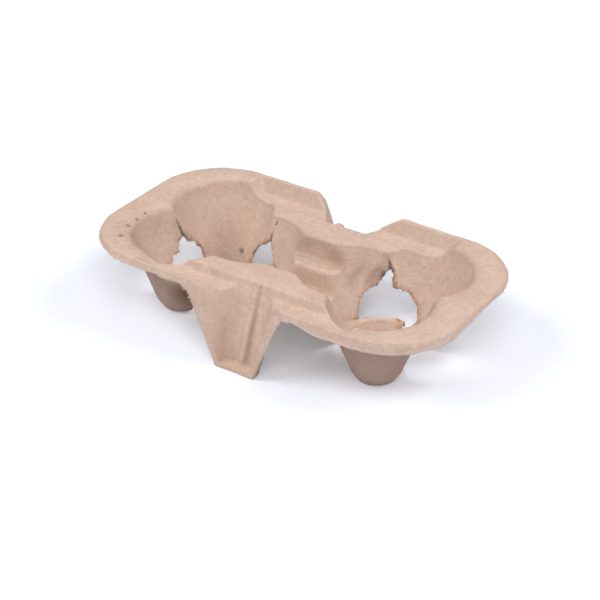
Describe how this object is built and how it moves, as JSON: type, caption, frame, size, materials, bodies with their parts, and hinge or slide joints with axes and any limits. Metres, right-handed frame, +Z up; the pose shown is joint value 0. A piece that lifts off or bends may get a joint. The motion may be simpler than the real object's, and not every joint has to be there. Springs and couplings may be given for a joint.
{
  "type": "moulded pulp cup carrier",
  "caption": "Moulded-fibre carrier tray for a pair of take-away cups, with lobed cells, tapered feet and finger notches.",
  "frame": {"origin": "midway between the cup cells, in plan, at the plane of the feet", "axes": "+X along the tray from cell to cell, +Y across it, +Z up out of the cups"},
  "size_m": [0.1968, 0.11, 0.042],
  "materials": {
    "pulp": "matte"
  },
  "bodies": {
    "root": {"carrier_tray": "pulp"}
  },
  "joints": []
}
